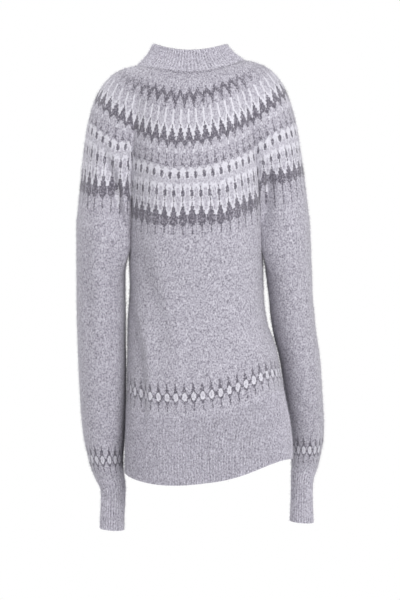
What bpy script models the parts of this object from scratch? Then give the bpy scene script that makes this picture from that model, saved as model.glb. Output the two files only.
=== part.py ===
"""Fair isle sweater with a round yoke, held in the hollow shape that it has when worn.

The wearer faces -Y and their left arm is on +X. The origin is the middle of the collar seam.
Sizes in the tables are millimetres. Every piece is one layer of knitted cloth, a closed wall.
"""

import math
from collections import namedtuple

import bmesh
import bpy
import numpy as np

METRES = 0.001

# Cloth
WALL = 3.0
COLLAR_WALL = 4.6
SEAM_GAP = 0.3
COLLAR_RIBS = 96
HEM_RIBS = 156
CUFF_RIBS = 30
COLLAR_RIB_HEIGHT = 1.3
HEM_RIB_HEIGHT = 1.2
CUFF_RIB_HEIGHT = 1.1

# How finely each piece is divided, and how many outer columns stand on one inner column
BACK_COLUMNS = 26
SLEEVE_COLUMNS = 22
UNDERARM_COLUMNS = 6
BODY_ROWS = 10
SLEEVE_ROWS = 12
RIB_COLUMN_SHARE = 4
CUFF_COLUMN_SHARE = 2
YOKE_STEPS = (0.0, 0.07, 0.16, 0.27, 0.39, 0.53, 0.68, 0.84, 1.0)

# Where the sleeves meet the body
UNDERARM_LEVEL = -301.0
UNDERARM_BACK = 38.0
UNDERARM_FRONT = -36.0
SLEEVE_SEAM_RISE = 41.0
UNDERARM_BLEND = 0.24
CROTCH_FADE = 62.0

# Body: how square its sections are, and how its lower edge hangs
BODY_SQUARENESS = 2.5
RIB_SEAM_LEVEL = -556.0
HEM_LEVEL = -674.5
HEM_ROLL = -0.064
HEM_MIDDLE = -31.0
HEM_DIP = 13.0
HEM_DIP_BACK = 8.0
HEM_LIFT = 18.0
HEM_LIFT_ANGLE = 2.35
HEM_LIFT_WIDTH = 0.65

BodyRow = namedtuple("BodyRow", "level left right back front")
BODY = (
    BodyRow(-301.0, 99.5, -128.4, 104.0, -108.0),
    BodyRow(-341.0, 98.6, -127.6, 101.0, -108.5),
    BodyRow(-365.0, 97.6, -128.2, 98.5, -107.0),
    BodyRow(-413.0, 100.6, -131.4, 98.5, -104.5),
    BodyRow(-437.0, 101.8, -136.6, 101.0, -104.0),
    BodyRow(-469.0, 102.0, -148.2, 105.5, -104.0),
    BodyRow(-512.0, 102.0, -157.6, 110.5, -104.5),
    BodyRow(-563.0, 102.4, -165.8, 114.0, -104.5),
    BodyRow(-597.0, 103.2, -172.6, 115.0, -103.0),
    BodyRow(-622.0, 104.4, -176.0, 115.0, -102.0),
    BodyRow(-660.0, 105.8, -177.6, 114.0, -100.5),
    BodyRow(-710.0, 106.8, -177.4, 113.0, -100.0),
)

# Sleeves: inner is the edge beside the body, outer the edge away from it
SleeveRow = namedtuple("SleeveRow", "level inner outer middle depth")
SLEEVE_LEFT = (
    SleeveRow(-240.0, 99.0, 187.5, 3.0, 59.0),
    SleeveRow(-301.0, 101.5, 188.2, 3.0, 56.0),
    SleeveRow(-341.0, 106.0, 188.2, 2.0, 53.0),
    SleeveRow(-365.0, 106.0, 188.2, 1.0, 51.5),
    SleeveRow(-413.0, 105.4, 188.0, 0.0, 49.0),
    SleeveRow(-461.0, 106.2, 187.0, -2.0, 47.0),
    SleeveRow(-530.0, 106.2, 184.5, -5.0, 45.5),
    SleeveRow(-597.0, 107.4, 180.8, -9.0, 43.5),
    SleeveRow(-632.0, 109.0, 176.8, -11.0, 41.0),
    SleeveRow(-658.0, 110.0, 171.2, -13.0, 37.5),
    SleeveRow(-678.0, 110.2, 166.4, -14.0, 34.0),
    SleeveRow(-699.0, 108.2, 158.0, -15.0, 29.5),
    SleeveRow(-714.0, 107.6, 149.8, -16.0, 26.0),
    SleeveRow(-735.0, 108.0, 147.8, -17.0, 24.5),
    SleeveRow(-760.0, 109.4, 149.0, -18.5, 24.0),
    SleeveRow(-796.0, 110.0, 150.8, -20.0, 24.5),
)
SLEEVE_RIGHT = (
    SleeveRow(-240.0, -128.0, -205.5, 3.0, 58.0),
    SleeveRow(-301.0, -130.4, -208.6, 2.0, 55.0),
    SleeveRow(-341.0, -132.8, -210.2, 0.0, 52.0),
    SleeveRow(-365.0, -135.4, -211.5, -3.0, 50.5),
    SleeveRow(-389.0, -138.6, -212.4, -6.0, 49.5),
    SleeveRow(-413.0, -140.6, -215.0, -9.0, 48.5),
    SleeveRow(-437.0, -144.0, -217.4, -13.0, 47.5),
    SleeveRow(-463.0, -149.2, -221.2, -18.0, 46.5),
    SleeveRow(-488.0, -155.8, -225.2, -23.0, 45.5),
    SleeveRow(-535.0, -163.6, -229.4, -32.0, 44.0),
    SleeveRow(-570.0, -167.6, -232.0, -40.0, 43.0),
    SleeveRow(-605.0, -171.6, -234.4, -50.0, 41.5),
    SleeveRow(-630.0, -174.6, -234.4, -57.0, 39.5),
    SleeveRow(-663.0, -178.4, -230.2, -65.0, 34.5),
    SleeveRow(-687.5, -179.8, -224.4, -70.0, 28.5),
    SleeveRow(-703.0, -180.0, -218.4, -72.0, 25.5),
    SleeveRow(-733.0, -180.0, -216.0, -76.0, 23.5),
    SleeveRow(-762.0, -179.2, -217.0, -80.0, 23.5),
    SleeveRow(-795.0, -177.6, -218.8, -83.0, 24.0),
)
SLEEVE_SQUARENESS = 2.15
LEFT_CUFF_SEAM, LEFT_CUFF_END = -698.5, -787.0
RIGHT_CUFF_SEAM, RIGHT_CUFF_END = -687.5, -783.5
CUFF_END_ROLL = 0.07
CUFF_HALF_WIDTH = 22.0

# Collar: its seam with the yoke and its rim, with their levels at the left, right, back and front
SEAM_LEFT, SEAM_RIGHT, SEAM_BACK, SEAM_FRONT = 86.0, -97.0, 77.0, -76.0
SEAM_LEVELS = (2.0, 11.4, -8.5, -34.0)
SEAM_DIP_POWER = 3.0
RIM_LEFT, RIM_RIGHT, RIM_BACK, RIM_FRONT = 58.0, -66.5, 52.0, -62.0
RIM_LEVELS = (40.5, 39.5, 28.0, 24.0)
RIM_DIP_POWER = 2.0
COLLAR_SQUARENESS = 2.1
COLLAR_HOLLOW = 4.0
COLLAR_SEAM_GAP = 0.4
RIM_SHOULDER = 0.28
RIM_SHOULDER_RISE = 1.4
RIM_RISE = 1.9

# Yoke: how far each direction reaches out from the collar and drops there, then how far it
# falls at its lower end, and leans outwards as it falls
YokeRow = namedtuple("YokeRow", "direction reach drop fall lean")
YOKE = (
    YokeRow(0.0, 275.0, 21.0, 398.0, 0.114),
    YokeRow(45.0, 165.0, 110.0, 300.0, 0.03),
    YokeRow(90.0, 105.0, 150.0, 290.0, 0.0),
    YokeRow(135.0, 175.0, 95.0, 330.0, 0.03),
    YokeRow(180.0, 246.0, 20.0, 530.0, 0.123),
    YokeRow(225.0, 150.0, 110.0, 320.0, 0.03),
    YokeRow(270.0, 110.0, 130.0, 270.0, 0.0),
    YokeRow(315.0, 150.0, 120.0, 290.0, 0.03),
)

# Soft folds, as lines seen from behind or from the front: +1 is the back, -1 the front
Fold = namedtuple("Fold", "face x_top top x_low low width depth")
FOLDS = (
    Fold(1, 132.0, -150.0, 104.0, -292.0, 11.0, -6.0),
    Fold(1, -137.0, -178.0, -130.0, -292.0, 11.0, -6.5),
    Fold(1, 84.0, -286.0, 36.0, -478.0, 17.0, -4.5),
    Fold(1, 58.0, -300.0, 14.0, -500.0, 15.0, 2.2),
    Fold(1, -106.0, -272.0, -104.0, -330.0, 13.0, -4.0),
    Fold(1, -62.0, -430.0, -136.0, -492.0, 20.0, 3.2),
    Fold(1, -84.0, -520.0, -150.0, -505.0, 11.0, -3.0),
    Fold(1, 168.0, -290.0, 166.0, -470.0, 9.0, -3.2),
    Fold(1, 124.0, -320.0, 128.0, -520.0, 9.0, -2.4),
    Fold(1, -190.0, -225.0, -198.0, -420.0, 9.0, -3.4),
    Fold(1, -206.0, -430.0, -214.0, -590.0, 9.0, -2.4),
    Fold(-1, 128.0, -160.0, 106.0, -292.0, 11.0, -6.0),
    Fold(-1, -136.0, -175.0, -131.0, -292.0, 11.0, -6.0),
    Fold(-1, 82.0, -290.0, 48.0, -430.0, 18.0, -4.0),
    Fold(-1, -104.0, -285.0, -76.0, -440.0, 17.0, -4.0),
    Fold(-1, -52.0, -455.0, -118.0, -520.0, 16.0, -3.0),
    Fold(-1, 70.0, -450.0, 30.0, -540.0, 15.0, 2.6),
    Fold(-1, 150.0, -470.0, 124.0, -520.0, 9.0, -2.8),
    Fold(-1, -186.0, -440.0, -206.0, -480.0, 9.0, -2.8),
)

# One deep fold at the wearer's left: the back laps over the side of the body
LapRow = namedtuple("LapRow", "level edge depth")
LAP = (
    LapRow(-350.0, 101.0, 0.0),
    LapRow(-380.0, 94.0, 4.0),
    LapRow(-430.0, 84.0, 9.0),
    LapRow(-480.0, 74.0, 12.0),
    LapRow(-530.0, 69.5, 12.0),
    LapRow(-575.0, 68.0, 6.0),
    LapRow(-610.0, 68.0, 0.0),
)

# The creases between arms and body, where the sleeve's side of the yoke lies lower
CreaseRow = namedtuple("CreaseRow", "level left right depth")
CREASE = (
    CreaseRow(-110.0, 140.0, -146.0, 0.0),
    CreaseRow(-140.0, 132.5, -139.0, 3.5),
    CreaseRow(-165.0, 126.0, -136.5, 7.0),
    CreaseRow(-190.0, 117.0, -131.5, 9.5),
    CreaseRow(-235.0, 111.0, -126.8, 10.0),
    CreaseRow(-262.0, 105.0, -125.0, 6.0),
    CreaseRow(-290.0, 101.5, -128.0, 0.0),
)

# How softly lapped cloth turns down at its edge, recovers past it, and bulges beside it
LAP_SOFTNESS = 9.0
LAP_RECOVERY = 30.0
LAP_BULGE = 0.25

# How far round towards the sides the folds, and the lapped edges, still reach
FOLD_SIDE = 0.5
LAP_SIDE = 0.35
YOKE_SIDE_DEPTH = 40.0

# Edges sharper than this, in degrees, stay sharp in the shading
SHARP_ANGLE = 50.0

# A fold starts and ends softly: how far it runs past its ends, and the share that it fades over
FOLD_OVERRUN = 0.12
FOLD_FADE = 0.3


def column_at(rows, name, where):
    """One column of a table, read smoothly at the given levels or directions."""
    places = np.array([row[0] for row in rows])
    values = np.array([getattr(row, name) for row in rows])
    if places[0] > places[-1]:
        places, values = places[::-1], values[::-1]
    slopes = np.gradient(values, places)
    where = np.clip(where, places[0], places[-1])
    k = np.clip(np.searchsorted(places, where) - 1, 0, len(places) - 2)
    step = places[k + 1] - places[k]
    s = (where - places[k]) / step
    return (
        values[k] * (2 * s**3 - 3 * s**2 + 1)
        + slopes[k] * step * (s**3 - 2 * s**2 + s)
        + values[k + 1] * (3 * s**2 - 2 * s**3)
        + slopes[k + 1] * step * (s**3 - s**2)
    )


def around(rows, name, degrees):
    """A column of a table whose first entry is a direction, read all the way round."""
    turned = [rows[-2]._replace(direction=rows[-2].direction - 360)]
    turned.append(rows[-1]._replace(direction=rows[-1].direction - 360))
    turned.extend(rows)
    turned.append(rows[0]._replace(direction=rows[0].direction + 360))
    turned.append(rows[1]._replace(direction=rows[1].direction + 360))
    return column_at(turned, name, np.mod(degrees, 360))


def smooth(value):
    value = np.clip(value, 0.0, 1.0)
    return value * value * (3 - 2 * value)


def signed_power(value, power):
    return np.sign(value) * np.abs(value) ** power


def oval(angle, left, right, back, front, squareness):
    """A point of a rounded section, angle 0 at its left side and a quarter turn at its back."""
    power = 2.0 / squareness
    x = (left + right) / 2 + (left - right) / 2 * signed_power(np.cos(angle), power)
    y = (back + front) / 2 + (back - front) / 2 * signed_power(np.sin(angle), power)
    return x, y


def fold_push(x, z, facing):
    """How far the folds move the cloth out (+) or in (-) at a place seen from its face."""
    push = np.zeros_like(x)
    for fold in FOLDS:
        run = np.array([fold.x_low - fold.x_top, fold.low - fold.top])
        length = np.hypot(*run)
        along = ((x - fold.x_top) * run[0] + (z - fold.top) * run[1]) / length**2
        aside = ((x - fold.x_top) * run[1] - (z - fold.top) * run[0]) / length
        start = smooth((along + FOLD_OVERRUN) / FOLD_FADE)
        ends = start * smooth((1 + FOLD_OVERRUN - along) / FOLD_FADE)
        face = smooth(facing * fold.face / FOLD_SIDE)
        push += fold.depth * ends * face * np.exp(-((aside / fold.width) ** 2))
    return push


def lapped(past, rows, z):
    """How far lapped cloth stands out beside its edge, and sinks in past it."""
    recovered = np.exp(-np.clip(past, 0, None) / LAP_RECOVERY)
    dropped = -smooth(past / LAP_SOFTNESS + 0.5) * recovered
    raised = LAP_BULGE * np.exp(-((past / LAP_SOFTNESS + 1) ** 2))
    inside = (z < rows[0].level) & (z > rows[-1].level)
    return np.where(inside, column_at(rows, "depth", z) * (dropped + raised), 0.0)


def lap_push(x, z, facing):
    return lapped(x - column_at(LAP, "edge", z), LAP, z) * smooth(facing / LAP_SIDE)


def crease_push(x, z, facing):
    left = lapped(x - column_at(CREASE, "left", z), CREASE, z)
    right = lapped(column_at(CREASE, "right", z) - x, CREASE, z)
    return (left + right) * smooth(np.abs(facing) / LAP_SIDE)


def body_points(angle, z):
    left, right, back, front = (column_at(BODY, name, z) for name in BodyRow._fields[1:])
    x, y = oval(angle, left, right, back, front, BODY_SQUARENESS)
    facing = np.sin(angle)
    y = y + np.sign(facing) * fold_push(x, z, facing) + lap_push(x, z, facing)
    return np.stack([x, y, z + 0 * x], axis=-1)


def tilted(level, angle, x):
    """The level of the body's lower edges: lower at the left and at the back, lifted between."""
    s = np.sin(angle)
    lift = HEM_LIFT * np.exp(-(((angle - HEM_LIFT_ANGLE) / HEM_LIFT_WIDTH) ** 2))
    return level + HEM_ROLL * (x - HEM_MIDDLE) - HEM_DIP * s * s - HEM_DIP_BACK * s + lift


def lower_edge(angle, level):
    x = body_points(angle, np.full_like(angle, level))[:, 0]
    return tilted(level, angle, x)


def spaced_by_length(points, count):
    """Indices, as fractions, that cut a fine line into parts of equal length."""
    lengths = np.linalg.norm(np.diff(points, axis=0), axis=1)
    total = np.concatenate([[0.0], np.cumsum(lengths)])
    return np.interp(np.linspace(0, total[-1], count + 1), total, np.arange(len(points)))


def underarm_angle(side_back):
    """The section angle at which the body reaches the end of the underarm seam."""
    middle = (BODY[0].back + BODY[0].front) / 2
    half = (BODY[0].back - BODY[0].front) / 2
    reach = abs(side_back - middle) / half
    return math.asin(reach ** (BODY_SQUARENESS / 2))


def body_angles(start, end, count):
    fine = np.linspace(start, end, 721)
    points = body_points(fine, np.full_like(fine, UNDERARM_LEVEL))
    return np.interp(spaced_by_length(points, count), np.arange(len(fine)), fine)


BACK_CORNER = underarm_angle(UNDERARM_BACK)
FRONT_CORNER = underarm_angle(UNDERARM_FRONT)
HALF_UNDERARM = UNDERARM_COLUMNS // 2
BACK_ARC = body_angles(BACK_CORNER, math.pi - BACK_CORNER, BACK_COLUMNS)
FRONT_ARC = body_angles(math.pi + FRONT_CORNER, 2 * math.pi - FRONT_CORNER, BACK_COLUMNS)
LEFT_BACK = np.linspace(0, BACK_CORNER, HALF_UNDERARM + 1)
LEFT_FRONT = np.linspace(2 * math.pi - FRONT_CORNER, 2 * math.pi, HALF_UNDERARM + 1)
RIGHT_BACK = np.linspace(math.pi - BACK_CORNER, math.pi, HALF_UNDERARM + 1)
RIGHT_FRONT = np.linspace(math.pi, math.pi + FRONT_CORNER, HALF_UNDERARM + 1)


def sleeve_ring(rows, angle, z):
    """Points of a sleeve's section, angle 0 at its outer side and a quarter turn at its back."""
    inner, outer, middle, depth = (column_at(rows, name, z) for name in SleeveRow._fields[1:])
    power = 2.0 / SLEEVE_SQUARENESS
    x = (inner + outer) / 2 + (outer - inner) / 2 * signed_power(np.cos(angle), power)
    y = middle + depth * signed_power(np.sin(angle), power)
    facing = np.sin(angle)
    y = y + np.sign(facing) * fold_push(x, z, facing)
    return np.stack([x, y, z + 0 * x], axis=-1)


def sleeve_angles(rows):
    """Angles of the sleeve's columns: round the outer side first, then along the underarm."""
    middle = column_at(rows, "middle", UNDERARM_LEVEL)
    depth = column_at(rows, "depth", UNDERARM_LEVEL)
    power = SLEEVE_SQUARENESS / 2
    back = math.pi - math.asin(((UNDERARM_BACK - middle) / depth) ** power)
    front = math.pi - math.asin(((middle - UNDERARM_FRONT) / depth) ** power)
    outer = np.linspace(back, -front, SLEEVE_COLUMNS + 1)
    under = np.linspace(-front, back - 2 * math.pi, UNDERARM_COLUMNS + 1)
    return np.concatenate([outer[:-1], under[:-1]])


def sleeve_top(rows, side):
    """The sleeve's top edge: its outer part joins the yoke, its underarm lies on the body."""
    angles = sleeve_angles(rows)
    share = np.clip(np.arange(len(angles)) / SLEEVE_COLUMNS, 0, 1)
    level = UNDERARM_LEVEL + SLEEVE_SEAM_RISE * np.sin(math.pi * share) ** 3
    ring = sleeve_ring(rows, angles, level)
    if side > 0:
        along = np.concatenate([LEFT_FRONT, LEFT_BACK[1:] + 2 * math.pi])
    else:
        along = np.concatenate([RIGHT_BACK, RIGHT_FRONT[1:]])[::-1]
    beside = body_points(along, np.full_like(along, UNDERARM_LEVEL))
    start, end = beside[-1] - ring[0], beside[0] - ring[SLEEVE_COLUMNS]
    for i in range(SLEEVE_COLUMNS):
        s = i / SLEEVE_COLUMNS
        ring[i] += start * smooth(1 - s / UNDERARM_BLEND)
        ring[i] += end * smooth(1 - (1 - s) / UNDERARM_BLEND)
    ring[SLEEVE_COLUMNS:] = beside[:-1]
    return angles, ring


def grid_normals(grid, closed):
    """Unit normals of a grid of points, rows first, pointing away from the hollow."""
    if closed:
        across = np.roll(grid, -1, axis=1) - np.roll(grid, 1, axis=1)
    else:
        across = np.gradient(grid, axis=1)
    normals = np.cross(across, np.gradient(grid, axis=0))
    return normals / np.linalg.norm(normals, axis=2, keepdims=True)


def facing_out(grid, normals):
    """The same normals, turned over where they point into the hollow."""
    away = (normals * (grid - grid.mean(axis=(0, 1))))[:, :, :2].sum()
    return normals if away > 0 else -normals


def levelled(normals, *rows):
    """The same normals, with those of the given rows turned level for a flat seam."""
    for row in rows:
        normals[row, :, 2] = 0.0
        normals[row] /= np.linalg.norm(normals[row], axis=1, keepdims=True)
    return normals


def trimmed(wall, rows=(True, True), gap=SEAM_GAP):
    """Each end row drawn back by half a seam gap, along the cloth."""
    for line, inward, used in ((0, 1, rows[0]), (-1, -2, rows[1])):
        if used:
            step = wall[inward] - wall[line]
            length = np.linalg.norm(step, axis=1, keepdims=True)
            wall[line] += step / length * gap / 2
    return wall


def material(name, colour, roughness=0.95):
    made = bpy.data.materials.new(name)
    made.use_nodes = True
    shader = made.node_tree.nodes["Principled BSDF"]
    shader.inputs["Base Color"].default_value = (*colour, 1.0)
    shader.inputs["Roughness"].default_value = roughness
    shader.inputs["Metallic"].default_value = 0.0
    return made


def joined_strip(bm, fine, coarse, closed):
    """Faces between two edges of a wall, where the first may have several points to one."""
    segments = len(coarse) if closed else len(coarse) - 1
    share = (len(fine) if closed else len(fine) - 1) // segments
    for j in range(segments):
        near, far = coarse[j], coarse[(j + 1) % len(coarse)]
        run = [fine[(j * share + k) % len(fine)] for k in range(share + 1)]
        if share == 1:
            bm.faces.new((run[0], run[1], far, near))
            continue
        half = share // 2
        for k in range(share):
            bm.faces.new((run[k], run[k + 1], near if k < half else far))
        bm.faces.new((run[half], far, near))


def add_wall(name, outer, inner, closed, cloth):
    """One closed wall of cloth from its outer and inner points, rows first."""
    bm = bmesh.new()
    skins = []
    for skin in (outer, inner):
        skins.append([[bm.verts.new(p * METRES) for p in row] for row in skin])
    for skin in skins:
        count = len(skin[0])
        last = count if closed else count - 1
        for lower, upper in zip(skin, skin[1:]):
            for i in range(last):
                k = (i + 1) % count
                bm.faces.new((lower[i], lower[k], upper[k], upper[i]))
    for end in (0, -1):
        joined_strip(bm, skins[0][end], skins[1][end], closed)
    if not closed:
        for side in (0, -1):
            for j in range(len(outer) - 1):
                a, b = skins[0][j][side], skins[0][j + 1][side]
                c, d = skins[1][j + 1][side], skins[1][j][side]
                bm.faces.new((a, b, c, d))
    bmesh.ops.recalc_face_normals(bm, faces=bm.faces)
    if bm.calc_volume(signed=True) < 0:
        bmesh.ops.reverse_faces(bm, faces=bm.faces)
    mesh = bpy.data.meshes.new(name)
    bm.to_mesh(mesh)
    bm.free()
    mesh.shade_smooth()
    mesh.set_sharp_from_angle(angle=math.radians(SHARP_ANGLE))
    mesh.materials.append(cloth)
    made = bpy.data.objects.new(name, mesh)
    bpy.context.scene.collection.objects.link(made)
    return made


def ring_level(angle, levels, power):
    """A ring's level: highest at the sides, lower at the back and at the front."""
    left, right, back, front = levels
    s = np.sin(angle)
    side = (left + right) / 2 + (left - right) / 2 * np.cos(angle)
    ends = np.where(s > 0, back, front)
    return side + (ends - side) * np.abs(s) ** power


def collar_seam(angle):
    x, y = oval(angle, SEAM_LEFT, SEAM_RIGHT, SEAM_BACK, SEAM_FRONT, COLLAR_SQUARENESS)
    z = ring_level(angle, SEAM_LEVELS, SEAM_DIP_POWER)
    return np.stack([x, y, z], axis=-1)


def collar_rim(angle):
    x, y = oval(angle, RIM_LEFT, RIM_RIGHT, RIM_BACK, RIM_FRONT, COLLAR_SQUARENESS)
    z = ring_level(angle, RIM_LEVELS, RIM_DIP_POWER)
    return np.stack([x, y, z], axis=-1)


def yoke_edge():
    """The yoke's lower edge, from the left back underarm across the back and all the way round."""
    back = body_points(BACK_ARC, np.full_like(BACK_ARC, UNDERARM_LEVEL))
    front = body_points(FRONT_ARC, np.full_like(FRONT_ARC, UNDERARM_LEVEL))
    left = sleeve_top(SLEEVE_LEFT, 1)[1][:SLEEVE_COLUMNS]
    right = sleeve_top(SLEEVE_RIGHT, -1)[1][:SLEEVE_COLUMNS]
    right = np.concatenate([right, front[:1]])
    left = np.concatenate([left, front[-1:]])[::-1]
    return np.concatenate([back[:-1], right[:-1], front[:-1], left[:-1]])


def yoke_grid():
    """The yoke's outer points: columns that leave the collar seam outwards and fall to the edge."""
    edge = yoke_edge()
    looped = np.concatenate([edge, edge[:1]])
    length = np.concatenate([[0], np.cumsum(np.linalg.norm(np.diff(looped, axis=0), axis=1))])
    middle = length[BACK_COLUMNS // 2]
    share = (length[:-1] - middle) / length[-1]
    fine = np.linspace(math.pi / 2, math.pi * 5 / 2, 1441)
    ring = collar_seam(fine)
    run = np.concatenate([[0], np.cumsum(np.linalg.norm(np.diff(ring, axis=0), axis=1))])
    angle = np.interp(np.mod(share, 1.0) * run[-1], run, fine)
    start = collar_seam(angle)
    direction = np.stack([np.cos(angle), np.sin(angle)], axis=-1)
    degrees = np.degrees(angle)
    reach, drop, fall, lean = (around(YOKE, name, degrees) for name in YokeRow._fields[1:])
    leave = np.concatenate([direction * reach[:, None], -drop[:, None]], axis=1)
    arrive = np.stack([np.cos(angle) * lean * fall, 0 * fall, -fall], axis=-1)
    grid = []
    for v in YOKE_STEPS:
        grid.append(
            start * (2 * v**3 - 3 * v**2 + 1)
            + leave * (v**3 - 2 * v**2 + v)
            + edge * (3 * v**2 - 2 * v**3)
            + arrive * (v**3 - v**2)
        )
    grid = np.array(grid)
    facing = np.clip(grid[:-1, :, 1] / YOKE_SIDE_DEPTH, -1, 1)
    push = fold_push(grid[:-1, :, 0], grid[:-1, :, 2], facing)
    push += crease_push(grid[:-1, :, 0], grid[:-1, :, 2], facing)
    grid[:-1, :, 1] += np.sign(facing) * push
    return angle, grid


def add_yoke(cloth):
    angle, grid = yoke_grid()
    normals = facing_out(grid, grid_normals(grid, True))
    normals = levelled(normals, -1)
    inner = grid - normals * WALL
    add_wall("yoke", trimmed(grid.copy()), trimmed(inner.copy()), True, cloth)
    return angle, normals


def add_body(yoke_normals, cloth):
    """The front and the back, each from one side seam to the other."""
    angles = np.concatenate([
        LEFT_BACK[:-1], BACK_ARC[:-1], RIGHT_BACK[:-1],
        RIGHT_FRONT[:-1], FRONT_ARC[:-1], LEFT_FRONT[:-1],
    ])
    seam = lower_edge(angles, RIB_SEAM_LEVEL)
    rows = []
    for v in np.linspace(0, 1, BODY_ROWS + 1):
        rows.append(body_points(angles, UNDERARM_LEVEL * (1 - v) + seam * v))
    grid = np.array(rows)
    normals = facing_out(grid, grid_normals(grid, True))
    normals = levelled(normals, 0, -1)
    first_back = HALF_UNDERARM + 1
    first_front = HALF_UNDERARM * 3 + BACK_COLUMNS + 1
    for first, offset in ((first_back, 1), (first_front, BACK_COLUMNS + SLEEVE_COLUMNS + 1)):
        for k in range(BACK_COLUMNS - 1):
            normals[0, first + k] = yoke_normals[-1, offset + k]
    inner = grid - normals * WALL
    outer, inner = trimmed(grid.copy()), trimmed(inner)
    half = len(angles) // 2
    for name, columns in (
        ("back", np.arange(0, half + 1)),
        ("front", np.arange(half, 2 * half + 1) % (2 * half)),
    ):
        skins = [skin[:, columns].copy() for skin in (outer, inner)]
        for skin in skins:
            side_gap(skin)
        add_wall(name, *skins, False, cloth)


def side_gap(skin):
    """Both side edges of a panel drawn back by half a seam gap."""
    for edge, inward in ((0, 1), (-1, -2)):
        step = skin[:, inward] - skin[:, edge]
        length = np.linalg.norm(step, axis=1, keepdims=True)
        skin[:, edge] += step / length * SEAM_GAP / 2


def rib_walls(points_at, angles, steps, height, wall, closed, share):
    """Outer points with ribs below a plain first row, and plain inner points, fewer of them."""
    grid = np.array([points_at(angles, step) for step in steps])
    normals = levelled(facing_out(grid, grid_normals(grid, closed)), 0)
    raised = height * (np.arange(len(angles)) % 2)
    outer = grid.copy()
    outer[1:] += normals[1:] * raised[:, None]
    inner = (grid - normals * wall)[:, ::share]
    return outer, inner


def add_hem(cloth):
    """The ribbed lower band, one half on the back and one on the front."""
    steps = (0.0, 0.06, 1.0)
    for name, start in (("hem_rib_back", 0.0), ("hem_rib_front", math.pi)):
        angles = np.linspace(start, start + math.pi, HEM_RIBS + 1)
        upper = lower_edge(angles, RIB_SEAM_LEVEL)
        lower = lower_edge(angles, HEM_LEVEL)

        def points_at(angle, v):
            return body_points(angle, upper * (1 - v) + lower * v)

        outer, inner = rib_walls(
            points_at, angles, steps, HEM_RIB_HEIGHT, WALL, False, RIB_COLUMN_SHARE
        )
        outer = trimmed(outer, (True, False))
        inner = trimmed(inner, (True, False))
        side_gap(outer)
        side_gap(inner)
        add_wall(name, outer, inner, False, cloth)


def add_sleeve(name, rows, side, seam, yoke_normals, cloth):
    """One sleeve, whose underarm keeps clear of the body's side all the way down."""
    angles, top = sleeve_top(rows, side)
    plain = sleeve_ring(rows, angles, top[:, 2])
    shift = top - plain
    away = np.zeros_like(top)
    away[SLEEVE_COLUMNS:, 0] = side * SEAM_GAP
    away[0, 0] = side * SEAM_GAP
    grid = []
    for v in np.linspace(0, 1, SLEEVE_ROWS + 1):
        level = top[:, 2] * (1 - v) + seam * v
        ring = sleeve_ring(rows, angles, level)
        fade = 1 - smooth((UNDERARM_LEVEL - level) / CROTCH_FADE)
        ring[:, :2] += (shift + away)[:, :2] * fade[:, None]
        grid.append(ring)
    grid = np.array(grid)
    normals = levelled(facing_out(grid, grid_normals(grid, True)), 0, -1)
    for k in range(1, SLEEVE_COLUMNS):
        if side > 0:
            column = 2 * (BACK_COLUMNS + SLEEVE_COLUMNS) - k
        else:
            column = BACK_COLUMNS + k
        normals[0, k] = yoke_normals[-1, column]
    inner = grid - normals * WALL
    add_wall(name, trimmed(grid), trimmed(inner), True, cloth)


def add_cuff(name, rows, side, seam, end, cloth):
    angles = np.linspace(0, 2 * math.pi, CUFF_RIBS * 2, endpoint=False)

    def points_at(angle, v):
        level = np.full_like(angle, seam * (1 - v) + end * v)
        level = level + v * CUFF_END_ROLL * side * CUFF_HALF_WIDTH * np.cos(angle)
        return sleeve_ring(rows, angle, level)

    steps = (0.0, 0.08, 0.3, 1.0)
    outer, inner = rib_walls(
        points_at, angles, steps, CUFF_RIB_HEIGHT, WALL, True, CUFF_COLUMN_SHARE
    )
    outer = trimmed(outer, (True, False))
    inner = trimmed(inner, (True, False))
    add_wall(name, outer, inner, True, cloth)


def add_collar(yoke_angles, yoke_normals, cloth):
    """The ribbed stand-up collar, two layers thick, with a rounded rim."""
    angles = np.linspace(0, 2 * math.pi, COLLAR_RIBS * 2, endpoint=False)
    share = RIB_COLUMN_SHARE

    def points_at(angle, v):
        point = collar_seam(angle) * (1 - v) + collar_rim(angle) * v
        out = point[:, :2] / np.linalg.norm(point[:, :2], axis=1, keepdims=True)
        point[:, :2] -= out * COLLAR_HOLLOW * math.sin(math.pi * v)
        return point

    steps = (0.0, 0.12, 0.55, 0.95)
    outer, inner = rib_walls(
        points_at, angles, steps, COLLAR_RIB_HEIGHT, COLLAR_WALL, True, share
    )
    foot = angles[::share]
    lean = []
    for axis in range(3):
        lean.append(np.interp(foot, yoke_angles, yoke_normals[0, :, axis], period=2 * math.pi))
    inner[0] = outer[0, ::share] - np.stack(lean, axis=-1) * WALL
    crest = (outer[-1, ::share] + inner[-1]) / 2
    crest[:, 2] += RIM_RISE
    shoulder = outer[-1] + (np.repeat(inner[-1], share, axis=0) - outer[-1]) * RIM_SHOULDER
    shoulder[:, 2] = outer[-1, :, 2] + RIM_SHOULDER_RISE
    inner = np.concatenate([inner, crest[None]])
    outer = np.concatenate([outer, shoulder[None]])
    outer = trimmed(outer, (True, False), COLLAR_SEAM_GAP)
    inner = trimmed(inner, (True, False), COLLAR_SEAM_GAP)
    add_wall("collar", outer, inner, True, cloth)


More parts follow.
